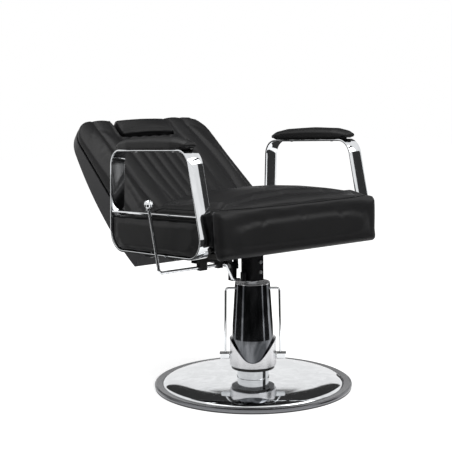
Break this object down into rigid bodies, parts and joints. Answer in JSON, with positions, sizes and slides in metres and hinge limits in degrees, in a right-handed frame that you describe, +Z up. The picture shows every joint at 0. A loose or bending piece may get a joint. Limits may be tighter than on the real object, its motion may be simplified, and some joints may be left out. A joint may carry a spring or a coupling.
{
  "type": "hydraulic barber chair",
  "caption": "Padded barber chair on a round floor base: hydraulic lift with foot pedal, swivel seat, chrome arm loops, reclining channelled back, sliding headrest and release lever.",
  "frame": {"origin": "on the floor under the axis of the pump", "axes": "+Z up, -Y the way the sitter faces, +X to the sitter's left"},
  "size_m": [0.7057, 0.9419, 0.7921],
  "materials": {
    "floor_rubber": "matt moulded",
    "rim_steel": "brushed",
    "polished_chrome": "mirror polished",
    "satin_chrome": "satin",
    "dark_chrome": "dark mirror",
    "cast_iron": "cast",
    "black_steel": "satin paint",
    "steel": "turned",
    "black_leatherette": "fine grain, semi-matt",
    "black_board": "stained black",
    "black_plastic": "fine texture"
  },
  "bodies": {
    "base": {"base_pad": "floor_rubber", "base_ring": "rim_steel", "base_plate": "cast_iron", "base_disc": "polished_chrome", "pump_foot": "polished_chrome", "foot_bolts": "steel", "pump_collar": "satin_chrome", "collar_ring": "black_steel", "pump_cover": "dark_chrome", "cover_cap": "satin_chrome", "pump_barrel": "cast_iron", "gland_nut": "steel", "valve_block": "cast_iron", "pedal_ears": "black_steel", "pedal_pin": "steel"},
    "ram": {"ram": "polished_chrome", "swivel_washer": "steel"},
    "bail": {"bail": "polished_chrome", "plunger": "steel", "bail_blocks": "polished_chrome", "block_plates": "black_steel"},
    "pedal": {"pedal": "black_steel", "pedal_tread": "floor_rubber"},
    "seat": {"swivel_bracket": "black_steel", "bracket_bolts": "steel", "seat_plate": "black_steel", "plate_bolts": "steel", "cross_beams": "black_steel", "seat_board": "black_board", "seat_cushion": "black_leatherette", "arm_loop_right": "polished_chrome", "arm_loop_left": "polished_chrome", "side_panel_right": "black_leatherette", "side_panel_left": "black_leatherette", "arm_pad_right": "black_leatherette", "arm_pad_left": "black_leatherette", "arm_straps": "black_steel", "arm_bolts": "steel", "pad_bases": "black_plastic", "pad_screws": "steel", "lever_clips": "black_steel", "hinge_pins": "steel", "hinge_spacers": "steel", "strut_bracket": "black_steel", "strut_front_pin": "steel"},
    "back": {"back_cushion": "black_leatherette", "back_shell": "black_plastic", "back_frame": "black_steel", "strut_rear_pin": "steel", "hinge_plates": "black_steel", "hinge_bolts": "steel"},
    "headrest": {"headrest_cushion": "black_leatherette", "headrest_posts": "polished_chrome"},
    "lever": {"recline_lever": "polished_chrome", "lever_knob": "polished_chrome"},
    "strut_head": {"release_head": "black_steel", "strut_rod": "steel"},
    "strut_cylinder": {"strut_cylinder": "black_steel"},
    "release_pin": {"release_pin": "steel"}
  },
  "joints": [
    {"name": "seat_lift", "type": "slide", "parent": "base", "child": "ram", "axis": [0, 0, 1], "range_m": [0, 0.15]},
    {"name": "seat_swivel", "type": "hinge", "parent": "ram", "child": "seat", "pos_m": [0, 0, 0.326], "axis": [0, 0, 1], "continuous": true},
    {"name": "pedal_press", "type": "hinge", "parent": "base", "child": "pedal", "pos_m": [-0.02498, -0.03124, 0.092], "axis": [-0.781, 0.6246, 0], "range_deg": [0, 12], "stiffness_Nm_per_rad": 20, "springref_deg": -11.46},
    {"name": "bail_stroke", "type": "slide", "parent": "base", "child": "bail", "axis": [0, 0, -1], "range_m": [0, 0.0084]},
    {"name": "back_recline", "type": "hinge", "parent": "seat", "child": "back", "pos_m": [0, 0.18693, 0.45971], "axis": [1, 0, 0], "range_deg": [-10, 38]},
    {"name": "headrest_height", "type": "slide", "parent": "back", "child": "headrest", "axis": [0, 0.7589, 0.6512], "range_m": [0, 0.08]},
    {"name": "lever_pull", "type": "hinge", "parent": "seat", "child": "lever", "pos_m": [-0.2, 0.01, 0.384], "axis": [1, 0, 0], "range_deg": [0, 10], "stiffness_Nm_per_rad": 4, "springref_deg": -5.73},
    {"name": "strut_swing", "type": "hinge", "parent": "seat", "child": "strut_head", "pos_m": [-0.045, 0.03673, 0.36988], "axis": [1, 0, 0], "range_deg": [-1.5, 5.5]},
    {"name": "strut_extension", "type": "slide", "parent": "strut_head", "child": "strut_cylinder", "axis": [0, 0.999, 0.0458], "range_m": [-0.0138, 0.0515]},
    {"name": "strut_release", "type": "slide", "parent": "strut_head", "child": "release_pin", "axis": [0, 0.999, 0.0458], "range_m": [0, 0.0088]}
  ],
  "couplings": [
    {"joint": "bail_stroke", "follows": "pedal_press", "m_per_rad": 0.0397},
    {"joint": "strut_swing", "follows": "back_recline", "ratio": 0.14},
    {"joint": "strut_extension", "follows": "back_recline", "m_per_rad": 0.0768},
    {"joint": "strut_release", "follows": "lever_pull", "m_per_rad": 0.05}
  ]
}
